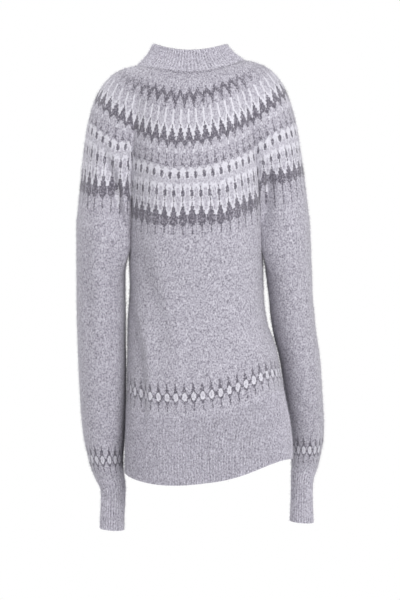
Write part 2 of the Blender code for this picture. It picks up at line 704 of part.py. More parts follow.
def main():
    for old in list(bpy.data.objects):
        bpy.data.objects.remove(old, do_unlink=True)
    plain = material("grey_melange_wool", (0.48, 0.46, 0.52))
    banded = material("fair_isle_wool", (0.52, 0.50, 0.56))
    rib = material("ribbed_wool", (0.45, 0.43, 0.49))
    yoke_angles, yoke_normals = add_yoke(banded)
    add_body(yoke_normals, plain)
    add_hem(rib)
    add_sleeve("sleeve_left", SLEEVE_LEFT, 1, LEFT_CUFF_SEAM, yoke_normals, plain)
    add_sleeve("sleeve_right", SLEEVE_RIGHT, -1, RIGHT_CUFF_SEAM, yoke_normals, plain)
    add_cuff("cuff_left", SLEEVE_LEFT, 1, LEFT_CUFF_SEAM, LEFT_CUFF_END, rib)
    add_cuff("cuff_right", SLEEVE_RIGHT, -1, RIGHT_CUFF_SEAM, RIGHT_CUFF_END, rib)
    add_collar(yoke_angles, yoke_normals, rib)


main()
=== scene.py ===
import math

import bpy
import numpy as np
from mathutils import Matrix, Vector


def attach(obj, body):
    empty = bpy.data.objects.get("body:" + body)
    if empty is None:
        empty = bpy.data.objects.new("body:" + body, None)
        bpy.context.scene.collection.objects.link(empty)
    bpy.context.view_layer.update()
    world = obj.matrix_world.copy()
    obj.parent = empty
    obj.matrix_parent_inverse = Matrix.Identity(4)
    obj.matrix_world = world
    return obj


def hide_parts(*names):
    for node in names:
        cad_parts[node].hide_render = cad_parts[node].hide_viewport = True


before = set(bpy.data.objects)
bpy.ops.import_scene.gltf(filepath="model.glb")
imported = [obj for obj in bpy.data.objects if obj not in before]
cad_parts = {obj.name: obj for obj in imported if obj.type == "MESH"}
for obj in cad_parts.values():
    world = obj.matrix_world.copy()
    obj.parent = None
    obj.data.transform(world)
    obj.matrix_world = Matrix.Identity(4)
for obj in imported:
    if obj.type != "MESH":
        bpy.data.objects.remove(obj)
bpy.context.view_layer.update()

print("frame loaded")

# Fair isle sweater in its worn form, seen from behind. Its front is on -Y, its left sleeve on +X
# and the origin is the middle of the collar seam. Form tables are in millimetres.
mm = 0.001

cloth = {
    "wall": 3.0,
    "collarWall": 4.6,
    "seamGap": 0.08,
    "underarmGap": 0.3,
    "stitchHeight": 1.7,
    "insideRows": 40.0,  # how many rows further along the pattern lies on the inside
    "sharpAngle": 50.0,
}

# Columns and rows in each piece's surface. Outside the ribs, innerEvery outer columns have one
# column behind them on the inside.
detail = {
    "backColumns": 104,
    "sleeveColumns": 88,
    "underarmColumns": 24,
    "yokeRows": 96,
    "bodyRows": 90,
    "sleeveRows": 110,
    "ribColumns": 8,
    "innerEvery": 4,
    "arcSamples": 721,
    "ringSamples": 1441,
}


def makeTable(names, *rows):
    return dict(zip(names.split(), np.array(rows, float).T))


body = makeTable(
    "level left right back front",
    (-301.0, 99.5, -128.4, 104.0, -108.0),
    (-341.0, 98.6, -127.6, 101.0, -108.5),
    (-365.0, 97.6, -128.2, 98.5, -107.0),
    (-413.0, 100.6, -131.4, 98.5, -104.5),
    (-437.0, 101.8, -136.6, 101.0, -104.0),
    (-469.0, 102.0, -148.2, 105.5, -104.0),
    (-512.0, 102.8, -157.6, 110.5, -104.5),
    (-563.0, 103.4, -165.8, 114.0, -104.5),
    (-597.0, 104.2, -172.6, 115.0, -103.0),
    (-622.0, 105.0, -176.0, 115.0, -102.0),
    (-660.0, 105.8, -177.6, 114.0, -100.5),
    (-710.0, 106.8, -177.4, 113.0, -100.0),
)

# Inner is a sleeve's edge beside the body, outer its edge away from it
sleeveLeft = makeTable(
    "level inner outer middle depth",
    (-240.0, 99.0, 187.5, 3.0, 59.0),
    (-301.0, 101.5, 188.2, 3.0, 56.0),
    (-341.0, 106.0, 188.2, 2.0, 53.0),
    (-365.0, 106.0, 188.2, 1.0, 51.5),
    (-413.0, 105.4, 188.0, 0.0, 49.0),
    (-461.0, 105.4, 187.0, -2.0, 47.0),
    (-530.0, 104.8, 184.5, -5.0, 45.5),
    (-597.0, 105.8, 180.8, -9.0, 43.5),
    (-632.0, 107.8, 176.8, -11.0, 41.0),
    (-658.0, 110.0, 171.2, -13.0, 37.5),
    (-678.0, 110.2, 166.4, -14.0, 34.0),
    (-699.0, 108.2, 158.0, -15.0, 29.5),
    (-714.0, 107.6, 149.8, -16.0, 26.0),
    (-735.0, 108.0, 147.8, -17.0, 24.5),
    (-760.0, 109.4, 149.0, -18.5, 24.0),
    (-796.0, 110.0, 150.8, -20.0, 24.5),
)
sleeveRight = makeTable(
    "level inner outer middle depth",
    (-240.0, -128.0, -205.5, 3.0, 58.0),
    (-301.0, -130.4, -208.6, 2.0, 55.0),
    (-341.0, -132.8, -210.2, 0.0, 52.0),
    (-365.0, -135.4, -211.5, -3.0, 50.5),
    (-389.0, -138.6, -212.4, -6.0, 49.5),
    (-413.0, -140.6, -215.0, -9.0, 48.5),
    (-437.0, -144.0, -217.4, -13.0, 47.5),
    (-463.0, -149.2, -221.2, -18.0, 46.5),
    (-488.0, -155.8, -225.2, -23.0, 45.5),
    (-535.0, -163.6, -229.4, -32.0, 44.0),
    (-570.0, -167.6, -232.0, -40.0, 43.0),
    (-605.0, -171.6, -234.4, -50.0, 41.5),
    (-630.0, -174.6, -234.4, -57.0, 39.5),
    (-663.0, -178.4, -230.2, -65.0, 34.5),
    (-687.5, -179.8, -224.4, -70.0, 28.5),
    (-703.0, -180.0, -218.4, -72.0, 25.5),
    (-733.0, -180.0, -216.0, -76.0, 23.5),
    (-762.0, -179.2, -217.0, -80.0, 23.5),
    (-795.0, -177.6, -218.8, -83.0, 24.0),
)

# Where sleeves and body meet, and how the lower edges hang
joins = {
    "underarmLevel": -301.0,
    "underarmBack": 38.0,
    "underarmFront": -36.0,
    "seamRise": 41.0,
    "blend": 0.24,
    "crotchFade": 62.0,
    "bodySquareness": 2.5,
    "sleeveSquareness": 2.15,
    "ribSeam": -556.0,
    "hem": -674.5,
    "hemMiddle": -31.0,
    "hemRoll": -0.064,
    "hemDip": 13.0,
    "hemDipBack": 8.0,
    "hemLift": 18.0,
    "hemLiftAngle": 2.35,
    "hemLiftWidth": 0.65,
}

yokeForm = makeTable(
    "direction reach drop fall lean",
    (0, 275, 21, 398, 0.114),
    (45, 165, 110, 300, 0.03),
    (90, 105, 150, 290, 0.0),
    (135, 175, 95, 330, 0.03),
    (180, 246, 20, 530, 0.123),
    (225, 150, 110, 320, 0.03),
    (270, 110, 130, 270, 0.0),
    (315, 150, 120, 290, 0.03),
)

# The collar's seam and rim: at the left, at the right, at the back and at the front
collarForm = {
    "seam": (86.0, -97.0, 77.0, -76.0),
    "seamLevels": (2.0, 11.4, -8.5, -34.0),
    "seamPower": 3.0,
    "rim": (58.0, -66.5, 52.0, -62.0),
    "rimLevels": (40.5, 39.5, 28.0, 24.0),
    "rimPower": 2.0,
    "squareness": 2.1,
    "hollow": 4.0,
}

# Creases as lines from (xTop, top) to (xLow, low), face +1 on the back and -1 on the front;
# the rows after the first nineteen are finer ones
folds = makeTable(
    "face xTop top xLow low width depth",
    (1, 132, -150, 104, -292, 11, -6.0),
    (1, -137, -178, -130, -292, 11, -6.5),
    (1, 84, -286, 36, -478, 17, -4.5),
    (1, 58, -300, 14, -500, 15, 2.2),
    (1, -106, -272, -104, -330, 13, -4.0),
    (1, -62, -430, -136, -492, 20, 3.2),
    (1, -84, -520, -150, -505, 11, -3.0),
    (1, 168, -290, 166, -470, 9, -3.2),
    (1, 124, -320, 128, -520, 9, -2.4),
    (1, -190, -225, -198, -420, 9, -3.4),
    (1, -206, -430, -214, -590, 9, -2.4),
    (-1, 128, -160, 106, -292, 11, -6.0),
    (-1, -136, -175, -131, -292, 11, -6.0),
    (-1, 82, -290, 48, -430, 18, -4.0),
    (-1, -104, -285, -76, -440, 17, -4.0),
    (-1, -52, -455, -118, -520, 16, -3.0),
    (-1, 70, -450, 30, -540, 15, 2.6),
    (-1, 150, -470, 124, -520, 9, -2.8),
    (-1, -186, -440, -206, -480, 9, -2.8),
    (1, 66, -350, 30, -440, 8, -1.4),
    (1, -30, -340, -64, -372, 10, -1.0),
    (1, 20, -410, 60, -470, 9, -1.2),
    (1, -110, -350, -70, -420, 9, -1.3),
    (1, 156, -560, 120, -600, 6, -1.6),
    (1, 160, -610, 126, -632, 5, -1.4),
    (1, 176, -380, 150, -412, 7, -1.2),
    (1, -170, -470, -214, -452, 6, -1.4),
    (1, -180, -560, -222, -600, 6, -1.5),
    (1, -186, -640, -220, -654, 5, -1.3),
    (-1, -20, -330, 30, -360, 10, -1.2),
    (-1, 96, -360, 60, -400, 8, -1.4),
    (-1, -110, -350, -80, -390, 8, -1.4),
    (-1, 170, -380, 130, -410, 7, -1.5),
    (-1, 166, -560, 124, -590, 6, -1.6),
    (-1, -160, -400, -204, -420, 6, -1.6),
    (-1, -176, -540, -222, -560, 6, -1.5),
)
foldEnds = {"overrun": 0.12, "fade": 0.3, "side": 0.5}

# The deep fold at the left, where the back laps over the side
lap = makeTable(
    "level edge depth",
    (-350.0, 101.0, 0.0),
    (-380.0, 94.0, 4.0),
    (-430.0, 84.0, 9.0),
    (-480.0, 74.0, 12.0),
    (-530.0, 69.5, 12.0),
    (-575.0, 68.0, 6.0),
    (-610.0, 68.0, 0.0),
)
lapForm = {"recovery": 30.0, "softness": 9.0, "bulge": 0.25, "side": 0.35}

# The creases between sleeves and body, where the sleeve's side of the yoke lies lower
crease = makeTable(
    "level left right depth",
    (-110.0, 140.0, -146.0, 0.0),
    (-140.0, 132.5, -139.0, 3.5),
    (-165.0, 126.0, -136.5, 7.0),
    (-190.0, 117.0, -131.5, 9.5),
    (-235.0, 111.0, -126.8, 10.0),
    (-262.0, 105.0, -125.0, 6.0),
    (-290.0, 101.5, -128.0, 0.0),
)


def readTable(table, name, where):
    places, values = next(iter(table.values())), table[name]
    if places[0] > places[-1]:
        places, values = places[::-1], values[::-1]
    slopes = np.gradient(values, places)
    where = np.clip(where, places[0], places[-1])
    k = np.clip(np.searchsorted(places, where) - 1, 0, len(places) - 2)
    step = places[k + 1] - places[k]
    s = (where - places[k]) / step
    return (
        values[k] * (2 * s**3 - 3 * s**2 + 1)
        + slopes[k] * step * (s**3 - 2 * s**2 + s)
        + values[k + 1] * (3 * s**2 - 2 * s**3)
        + slopes[k + 1] * step * (s**3 - s**2)
    )


def readRound(table, name, degrees):
    places = table["direction"]
    turned = {"direction": np.concatenate([places[-2:] - 360, places, places[:2] + 360])}
    turned[name] = np.concatenate([table[name][-2:], table[name], table[name][:2]])
    return readTable(turned, name, np.mod(degrees, 360))


def smooth(value):
    value = np.clip(value, 0.0, 1.0)
    return value * value * (3 - 2 * value)


def signedPower(value, power):
    return np.sign(value) * np.abs(value) ** power


def oval(angle, left, right, back, front, squareness):
    power = 2.0 / squareness
    x = (left + right) / 2 + (left - right) / 2 * signedPower(np.cos(angle), power)
    y = (back + front) / 2 + (back - front) / 2 * signedPower(np.sin(angle), power)
    return x, y


def foldPush(x, z, facing):
    push = np.zeros_like(x)
    for face, xTop, top, xLow, low, width, depth in zip(*folds.values()):
        runX, runZ = xLow - xTop, low - top
        length = math.hypot(runX, runZ)
        along = ((x - xTop) * runX + (z - top) * runZ) / length**2
        aside = ((x - xTop) * runZ - (z - top) * runX) / length
        start = smooth((along + foldEnds["overrun"]) / foldEnds["fade"])
        ends = start * smooth((1 + foldEnds["overrun"] - along) / foldEnds["fade"])
        side = smooth(facing * face / foldEnds["side"])
        push += depth * ends * side * np.exp(-((aside / width) ** 2))
    return push


def lapped(past, rows, z):
    recovered = np.exp(-np.clip(past, 0, None) / lapForm["recovery"])
    dropped = -smooth(past / lapForm["softness"] + 0.5) * recovered
    raised = lapForm["bulge"] * np.exp(-((past / lapForm["softness"] + 1) ** 2))
    inside = (z < rows["level"][0]) & (z > rows["level"][-1])
    return np.where(inside, readTable(rows, "depth", z) * (dropped + raised), 0.0)


def lapPush(x, z, facing):
    return lapped(x - readTable(lap, "edge", z), lap, z) * smooth(facing / lapForm["side"])


def creasePush(x, z, facing):
    left = lapped(x - readTable(crease, "left", z), crease, z)
    right = lapped(readTable(crease, "right", z) - x, crease, z)
    return (left + right) * smooth(np.abs(facing) / lapForm["side"])


def bodyPoints(angle, z):
    sizes = [readTable(body, name, z) for name in ("left", "right", "back", "front")]
    x, y = oval(angle, *sizes, joins["bodySquareness"])
    facing = np.sin(angle)
    y = y + np.sign(facing) * foldPush(x, z, facing) + lapPush(x, z, facing)
    return np.stack([x, y, z + 0 * x], axis=-1)


def lowerEdge(angle, level):
    x = bodyPoints(angle, np.full_like(angle, level))[..., 0]
    s = np.sin(angle)
    away = (angle - joins["hemLiftAngle"]) / joins["hemLiftWidth"]
    roll = joins["hemRoll"] * (x - joins["hemMiddle"])
    dip = joins["hemDip"] * s * s + joins["hemDipBack"] * s
    return level + roll - dip + joins["hemLift"] * np.exp(-(away**2))


def lengthsAlong(points):
    steps = np.linalg.norm(np.diff(points, axis=0), axis=1)
    return np.concatenate([[0.0], np.cumsum(steps)])


def underarmAngle(edge):
    back, front = body["back"][0], body["front"][0]
    reach = abs(edge - (back + front) / 2) / ((back - front) / 2)
    return math.asin(reach ** (joins["bodySquareness"] / 2))


def evenAngles(start, end, count, level=joins["underarmLevel"]):
    fine = np.linspace(start, end, detail["arcSamples"])
    run = lengthsAlong(bodyPoints(fine, np.full_like(fine, level)))
    return np.interp(np.linspace(0, run[-1], count + 1), run, fine)


backCorner = underarmAngle(joins["underarmBack"])
frontCorner = underarmAngle(joins["underarmFront"])
turn = 2 * math.pi
halfUnder = detail["underarmColumns"] // 2
backArc = evenAngles(backCorner, math.pi - backCorner, detail["backColumns"])
frontArc = evenAngles(math.pi + frontCorner, turn - frontCorner, detail["backColumns"])
leftBack = np.linspace(0, backCorner, halfUnder + 1)
leftFront = np.linspace(turn - frontCorner, turn, halfUnder + 1)
rightBack = np.linspace(math.pi - backCorner, math.pi, halfUnder + 1)
rightFront = np.linspace(math.pi, math.pi + frontCorner, halfUnder + 1)


def sleeveRing(rows, angle, z):
    names = ("inner", "outer", "middle", "depth")
    inner, outer, middle, depth = (readTable(rows, name, z) for name in names)
    power = 2.0 / joins["sleeveSquareness"]
    x = (inner + outer) / 2 + (outer - inner) / 2 * signedPower(np.cos(angle), power)
    y = middle + depth * signedPower(np.sin(angle), power)
    facing = np.sin(angle)
    y = y + np.sign(facing) * foldPush(x, z, facing)
    return np.stack([x, y, z + 0 * x], axis=-1)


def sleeveAngles(rows):
    middle = readTable(rows, "middle", joins["underarmLevel"])
    depth = readTable(rows, "depth", joins["underarmLevel"])
    power = joins["sleeveSquareness"] / 2
    back = math.pi - math.asin(((joins["underarmBack"] - middle) / depth) ** power)
    front = math.pi - math.asin(((middle - joins["underarmFront"]) / depth) ** power)
    outer = np.linspace(back, -front, detail["sleeveColumns"] + 1)
    under = np.linspace(-front, back - turn, detail["underarmColumns"] + 1)
    return np.concatenate([outer[:-1], under[:-1]])


def sleeveTop(rows, side):
    count = detail["sleeveColumns"]
    angles = sleeveAngles(rows)
    share = np.clip(np.arange(len(angles)) / count, 0, 1)
    level = joins["underarmLevel"] + joins["seamRise"] * np.sin(math.pi * share) ** 3
    ring = sleeveRing(rows, angles, level)
    if side > 0:
        along = np.concatenate([leftFront, leftBack[1:] + turn])
    else:
        along = np.concatenate([rightBack, rightFront[1:]])[::-1]
    beside = bodyPoints(along, np.full_like(along, joins["underarmLevel"]))
    start, end = beside[-1] - ring[0], beside[0] - ring[count]
    s = share[:count, None]
    ring[:count] += start * smooth(1 - s / joins["blend"])
    ring[:count] += end * smooth(1 - (1 - s) / joins["blend"])
    ring[count:] = beside[:-1]
    return angles, ring


def gridNormals(grid, closed):
    if closed:
        across = np.roll(grid, -1, axis=1) - np.roll(grid, 1, axis=1)
    else:
        across = np.gradient(grid, axis=1)
    normals = np.cross(across, np.gradient(grid, axis=0))
    normals /= np.linalg.norm(normals, axis=2, keepdims=True)
    away = (normals * (grid - grid.mean(axis=(0, 1))))[:, :, :2].sum()
    return normals if away > 0 else -normals


def levelled(normals, *rows):
    for row in rows:
        normals[row, :, 2] = 0.0
        normals[row] /= np.linalg.norm(normals[row], axis=1, keepdims=True)
    return normals


# Half a seam's gap at a wall's first and last rows, or at its side edges with its axes swapped
def drawnBack(wall, first=True, last=True):
    for line, inward, used in ((0, 1, first), (-1, -2, last)):
        if used:
            step = wall[inward] - wall[line]
            length = np.linalg.norm(step, axis=1, keepdims=True)
            wall[line] += step / length * cloth["seamGap"] / 2
    return wall


def addObject(name, data):
    made = bpy.data.objects.new(name, data)
    bpy.context.scene.collection.objects.link(made)
    return made


# A closed wall from its outer points and fewer inner ones. knit gives each outer point's place
# in stitches and rows, with one more column than the points where the wall is a tube.
def addWall(name, outer, inner, closed, knit):
    rows, columns = outer.shape[:2]
    innerColumns = inner.shape[1]
    segments = columns if closed else columns - 1
    coarse = innerColumns if closed else innerColumns - 1
    share = segments // coarse
    base = rows * columns
    quads, corners = [], []
    triangles, triangleCorners = [], []

    def out(j, i):
        return j * columns + i % columns

    def within(j, i):
        return base + j * innerColumns + i % innerColumns

    inside = np.array([0.0, -cloth["insideRows"]])
    for j in range(rows - 1):
        for i in range(segments):
            quads.append((out(j, i), out(j, i + 1), out(j + 1, i + 1), out(j + 1, i)))
            corners.append((knit[j, i], knit[j, i + 1], knit[j + 1, i + 1], knit[j + 1, i]))
        for i in range(coarse):
            quads.append((within(j, i), within(j + 1, i), within(j + 1, i + 1), within(j, i + 1)))
            u, v = knit[j, i * share] + inside, knit[j + 1, (i + 1) * share] + inside
            corners.append((u, (u[0], v[1]), v, (v[0], u[1])))
    half = share // 2
    for j, turned in ((0, False), (rows - 1, True)):
        for i in range(coarse):
            near, far, first = within(j, i), within(j, i + 1), i * share
            spot = knit[j, first]
            faces = [(out(j, first + half), near, far)]
            for k in range(share):
                target = near if k < half else far
                faces.append((out(j, first + k + 1), out(j, first + k), target))
            for face in faces:
                triangles.append(face[::-1] if turned else face)
                triangleCorners.append((spot, spot, spot))
    if not closed:
        for j in range(rows - 1):
            for i, k in ((0, 0), (columns - 1, innerColumns - 1)):
                face = (out(j, i), out(j + 1, i), within(j + 1, k), within(j, k))
                quads.append(face if i == 0 else face[::-1])
                corners.append((knit[j, i],) * 4)
    points = np.concatenate([outer.reshape(-1, 3), inner.reshape(-1, 3)]) * mm
    first, second = points[quads[0][0]], points[quads[0][1]]
    normal = np.cross(second - first, points[quads[0][3]] - first)
    outward = gridNormals(outer, closed)[0, 0]
    faces = quads + triangles
    spots = [np.array(quad) for quad in corners] + [np.array(face) for face in triangleCorners]
    if normal @ outward < 0:
        faces = [face[::-1] for face in faces]
        spots = [spot[::-1] for spot in spots]
    mesh = bpy.data.meshes.new(name)
    mesh.from_pydata(points.tolist(), [], faces)
    layer = mesh.uv_layers.new(name="knit")
    layer.uv.foreach_set("vector", np.concatenate(spots).astype(np.float32).ravel())
    mesh.shade_smooth()
    mesh.set_sharp_from_angle(angle=math.radians(cloth["sharpAngle"]))
    made = addObject(name, mesh)
    made["outerPoints"] = base
    return made


# which is "seam" or "rim"
def collarRing(angle, which):
    x, y = oval(angle, *collarForm[which], collarForm["squareness"])
    left, right, back, front = collarForm[which + "Levels"]
    s = np.sin(angle)
    side = (left + right) / 2 + (left - right) / 2 * np.cos(angle)
    ends = np.where(s > 0, back, front)
    z = side + (ends - side) * np.abs(s) ** collarForm[which + "Power"]
    return np.stack([x, y, z], axis=-1)


# Yoke

yokeLook = {
    "stitches": 512,
    "sideDepth": 40.0,
    "pushFadeFrom": 0.8,
    "places": 24,
}

# How far down the cloth each band of the pattern lies, as shares of the way from the collar to
# the yoke's lower edge. place runs from 0 at the middle of the back or front to 24 at the sleeve.
bandRows = (-2.0, 20.0, 66.0, 98.5, 116.0, 141.5, 152.0, 170.0)
bandsLeft = makeTable(
    "place zigzag teeth dots lowDots diamonds tips",
    (0, 0.151, 0.410, 0.591, 0.689, 0.830, 0.890),
    (4, 0.163, 0.416, 0.596, 0.694, 0.849, 0.893),
    (8, 0.146, 0.395, 0.573, 0.675, 0.820, 0.883),
    (12.5, 0.129, 0.360, 0.557, 0.659, 0.795, 0.854),
    (14, 0.122, 0.345, 0.454, 0.544, 0.689, 0.734),
    (16, 0.111, 0.323, 0.468, 0.555, 0.708, 0.753),
    (20, 0.095, 0.310, 0.465, 0.568, 0.766, 0.815),
    (24, 0.092, 0.311, 0.474, 0.584, 0.805, 0.845),
)
bandsRight = makeTable(
    "place zigzag teeth dots lowDots diamonds tips",
    (0, 0.151, 0.410, 0.591, 0.689, 0.830, 0.890),
    (4, 0.141, 0.390, 0.576, 0.688, 0.834, 0.878),
    (8, 0.128, 0.361, 0.549, 0.647, 0.780, 0.843),
    (12.5, 0.109, 0.331, 0.517, 0.626, 0.746, 0.804),
    (14, 0.104, 0.320, 0.476, 0.549, 0.625, 0.680),
    (17, 0.096, 0.302, 0.465, 0.550, 0.662, 0.706),
    (20, 0.091, 0.292, 0.487, 0.578, 0.684, 0.734),
    (24, 0.098, 0.299, 0.526, 0.620, 0.715, 0.765),
)


def yokeEdge():
    level = joins["underarmLevel"]
    back = bodyPoints(backArc, np.full_like(backArc, level))
    front = bodyPoints(frontArc, np.full_like(frontArc, level))
    count = detail["sleeveColumns"]
    left = np.concatenate([sleeveTop(sleeveLeft, 1)[1][:count], front[-1:]])[::-1]
    right = np.concatenate([sleeveTop(sleeveRight, -1)[1][:count], front[:1]])
    return np.concatenate([back[:-1], right[:-1], front[:-1], left[:-1]])


def yokeSurface():
    edge = yokeEdge()
    length = lengthsAlong(np.concatenate([edge, edge[:1]]))
    share = (length - length[detail["backColumns"] // 2]) / length[-1]
    fine = np.linspace(math.pi / 2, math.pi * 5 / 2, detail["ringSamples"])
    run = lengthsAlong(collarRing(fine, "seam"))
    angle = np.interp(np.mod(share[:-1], 1.0) * run[-1], run, fine)
    start = collarRing(angle, "seam")
    sizes = [readRound(yokeForm, name, np.degrees(angle)) for name in list(yokeForm)[1:]]
    reach, drop, fall, lean = sizes
    leave = np.stack([np.cos(angle) * reach, np.sin(angle) * reach, -drop], axis=-1)
    arrive = np.stack([np.cos(angle) * lean * fall, 0 * fall, -fall], axis=-1)
    v = np.linspace(0, 1, detail["yokeRows"] + 1)[:, None, None]
    atEdge = 3 * v**2 - 2 * v**3
    grid = start * (1 - atEdge) + edge * atEdge
    grid = grid + leave * (v**3 - 2 * v**2 + v) + arrive * (v**3 - v**2)
    facing = np.clip(grid[:, :, 1] / yokeLook["sideDepth"], -1, 1)
    push = foldPush(grid[:, :, 0], grid[:, :, 2], facing)
    push += creasePush(grid[:, :, 0], grid[:, :, 2], facing)
    fadeFrom = yokeLook["pushFadeFrom"]
    fade = 1 - smooth((v[:, :, 0] - fadeFrom) / (1 - fadeFrom))
    grid[:, :, 1] += np.sign(facing) * push * fade
    return angle, share, grid


# Places in the knitting: stitches run round, rows follow the bands down each column
def yokeKnit(share, grid):
    steps = np.linalg.norm(np.diff(grid, axis=0), axis=2)
    run = np.concatenate([np.zeros((1, grid.shape[1])), np.cumsum(steps, axis=0)])
    run /= run[-1]
    quarter = grid.shape[1] / 4
    place = np.arange(grid.shape[1]) - detail["backColumns"] / 2
    places = yokeLook["places"]
    place = (place / quarter * places + 2 * places) % (4 * places) - 2 * places
    aside = places - np.abs(places - np.abs(place))
    rows = np.empty_like(run)
    for i in range(grid.shape[1]):
        table = bandsLeft if place[i] < 0 else bandsRight
        shares = [np.interp(aside[i], table["place"], table[name]) for name in list(table)[1:]]
        rows[:, i] = np.interp(run[:, i], [0.0, *shares, 1.0], bandRows)
    rows = np.concatenate([rows, rows[:, :1]], axis=1)
    columns = np.broadcast_to(share * yokeLook["stitches"], rows.shape)
    return np.stack([columns, rows], axis=-1)


yokeAngles, yokeShare, yokeOuter = yokeSurface()
yokeNormals = levelled(gridNormals(yokeOuter, True), -1)
yokeInner = (yokeOuter - yokeNormals * cloth["wall"])[:, ::detail["innerEvery"]]
pieces = {}
pieces["yoke"] = addWall(
    "yoke_knit", drawnBack(yokeOuter.copy()), drawnBack(yokeInner.copy()), True,
    yokeKnit(yokeShare, yokeOuter),
)
print("yoke")

# Lower body

bodyLook = {
    "stitches": 371,
    "bandLevel": -528.0,
    "borderRepeat": 7.0,
    "borderRow": 16.5,
    "borderWidth": 8.7,
}


def bodyStitches(angle):
    fine = np.linspace(0, turn, detail["ringSamples"])
    run = lengthsAlong(bodyPoints(fine, np.full_like(fine, bodyLook["bandLevel"])))
    return np.interp(angle, fine, run / run[-1]) * bodyLook["stitches"]


def addBody():
    angles = np.concatenate([
        leftBack[:-1], backArc[:-1], rightBack[:-1], rightFront[:-1], frontArc[:-1], leftFront,
    ])
    seam = lowerEdge(angles, joins["ribSeam"])
    v = np.linspace(0, 1, detail["bodyRows"] + 1)[:, None]
    level = joins["underarmLevel"] * (1 - v) + seam * v
    grid = bodyPoints(angles + 0 * level, level)
    normals = levelled(gridNormals(grid[:, :-1], True), 0, -1)
    backColumns, sleeveColumns = detail["backColumns"], detail["sleeveColumns"]
    for first, offset in (
        (halfUnder + 1, 1),
        (halfUnder * 3 + backColumns + 1, backColumns + sleeveColumns + 1),
    ):
        count = backColumns - 1
        normals[0, first:first + count] = yokeNormals[-1, offset:offset + count]
    normals = np.concatenate([normals, normals[:, :1]], axis=1)
    outer = drawnBack(grid.copy())
    inner = drawnBack(grid - normals * cloth["wall"])
    rows = (grid[:, :, 2] - seam) / cloth["stitchHeight"]
    knit = np.stack([bodyStitches(angles) + 0 * rows, rows], axis=-1)
    half = (len(angles) - 1) // 2
    for name, part in (("back", slice(0, half + 1)), ("front", slice(half, None))):
        skins = [outer[:, part].copy(), inner[:, part].copy()]
        for skin in skins:
            drawnBack(skin.swapaxes(0, 1))
        skins[1] = skins[1][:, ::detail["innerEvery"]]
        pieces[name] = addWall(name + "_knit", *skins, False, knit[:, part])


addBody()
print("front and back")

# Sleeves

sleeveLook = {
    "stitches": 126,
    "leftSeam": -698.5,
    "rightSeam": -687.5,
    "borderRepeat": 7.0,
    "borderRow": 20.5,
    "borderWidth": 7.6,
}


def addSleeve(name, rows, side, seam):
    angles, top = sleeveTop(rows, side)
    count = detail["sleeveColumns"]
    shift = (top - sleeveRing(rows, angles, top[:, 2]))[:, :2]
    shift[count:, 0] += side * cloth["underarmGap"]
    shift[0, 0] += side * cloth["underarmGap"]
    v = np.linspace(0, 1, detail["sleeveRows"] + 1)[:, None]
    level = top[:, 2] * (1 - v) + seam * v
    grid = sleeveRing(rows, angles + 0 * level, level)
    fade = 1 - smooth((joins["underarmLevel"] - level) / joins["crotchFade"])
    grid[:, :, :2] += shift * fade[:, :, None]
    normals = levelled(gridNormals(grid, True), 0, -1)
    for k in range(1, count):
        if side > 0:
            column = 2 * (detail["backColumns"] + count) - k
        else:
            column = detail["backColumns"] + k
        normals[0, k] = yokeNormals[-1, column]
    inner = grid - normals * cloth["wall"]
    looped = np.append(angles, angles[0] - turn)
    rowsUp = (level - seam) / cloth["stitchHeight"]
    rowsUp = np.concatenate([rowsUp, rowsUp[:, :1]], axis=1)
    columns = (angles[0] - looped) / turn * sleeveLook["stitches"] + 0 * rowsUp
    knit = np.stack([columns, rowsUp], axis=-1)
    outer, inner = drawnBack(grid), drawnBack(inner)[:, ::detail["innerEvery"]]
    pieces[name] = addWall(name + "_knit", outer, inner, True, knit)


addSleeve("sleeve_left", sleeveLeft, 1, sleeveLook["leftSeam"])
addSleeve("sleeve_right", sleeveRight, -1, sleeveLook["rightSeam"])
print("sleeves")

# Ribbed edges

ribLook = {
    "collarRibs": 96,
    "hemRibs": 156,
    "cuffRibs": 30,
    "collarHeight": 1.3,
    "hemHeight": 1.2,
    "cuffHeight": 1.1,
    "leftEnd": -787.0,
    "rightEnd": -783.5,
    "cuffEndRoll": 0.07,
    "cuffHalfWidth": 22.0,
    "collarStart": 0.12,
    "hemStart": 0.06,
    "cuffStart": 0.08,
    "crestWidth": 0.8,
}

# Rows of a ribbed edge as shares of the way from its seam, closer together where its ribs start
ribRows = {
    "hem": ((0, 0.02, 0.05), (0.1, 1, 12)),
    "cuff": ((0, 0.03, 0.07), (0.12, 1, 16)),
    "collar": ((0, 0.04, 0.09), (0.15, 0.95, 14)),
}

# The collar's rounded rim as shares of its wall and heights, on its outside and its inside
rimOutside = ((0.12, 0.75), (0.3, 1.4), (0.48, 1.9))
rimInside = ((0.9, 0.75), (0.72, 1.4), (0.52, 1.9))


def ribShares(part):
    first, others = ribRows[part]
    return np.concatenate([first, np.linspace(*others)])


# A rib's rounded crest and the narrower valley beside it, 0 to 1 over one rib
def ribProfile(count, closed):
    phase = np.arange(count if closed else count + 1) / detail["ribColumns"]
    wave = 0.5 - 0.5 * np.cos(phase * turn)
    return wave ** ribLook["crestWidth"]


def ribWall(grid, height, wall, closed, rise):
    normals = levelled(gridNormals(grid, closed), 0)
    columns = grid.shape[1]
    profile = ribProfile(columns if closed else columns - 1, closed)
    outer = grid + normals * (height * profile * rise[:, None])[:, :, None]
    return outer, (grid - normals * wall)[:, ::detail["ribColumns"]]


def ribKnit(grid, closed):
    columns = np.arange(grid.shape[1] + (1 if closed else 0)) * 2.0 / detail["ribColumns"]
    run = np.linalg.norm(np.diff(grid, axis=0), axis=2).mean(axis=1)
    rows = -np.concatenate([[0.0], np.cumsum(run)]) / cloth["stitchHeight"]
    return np.stack(np.broadcast_arrays(columns[None, :], rows[:, None]), axis=-1)


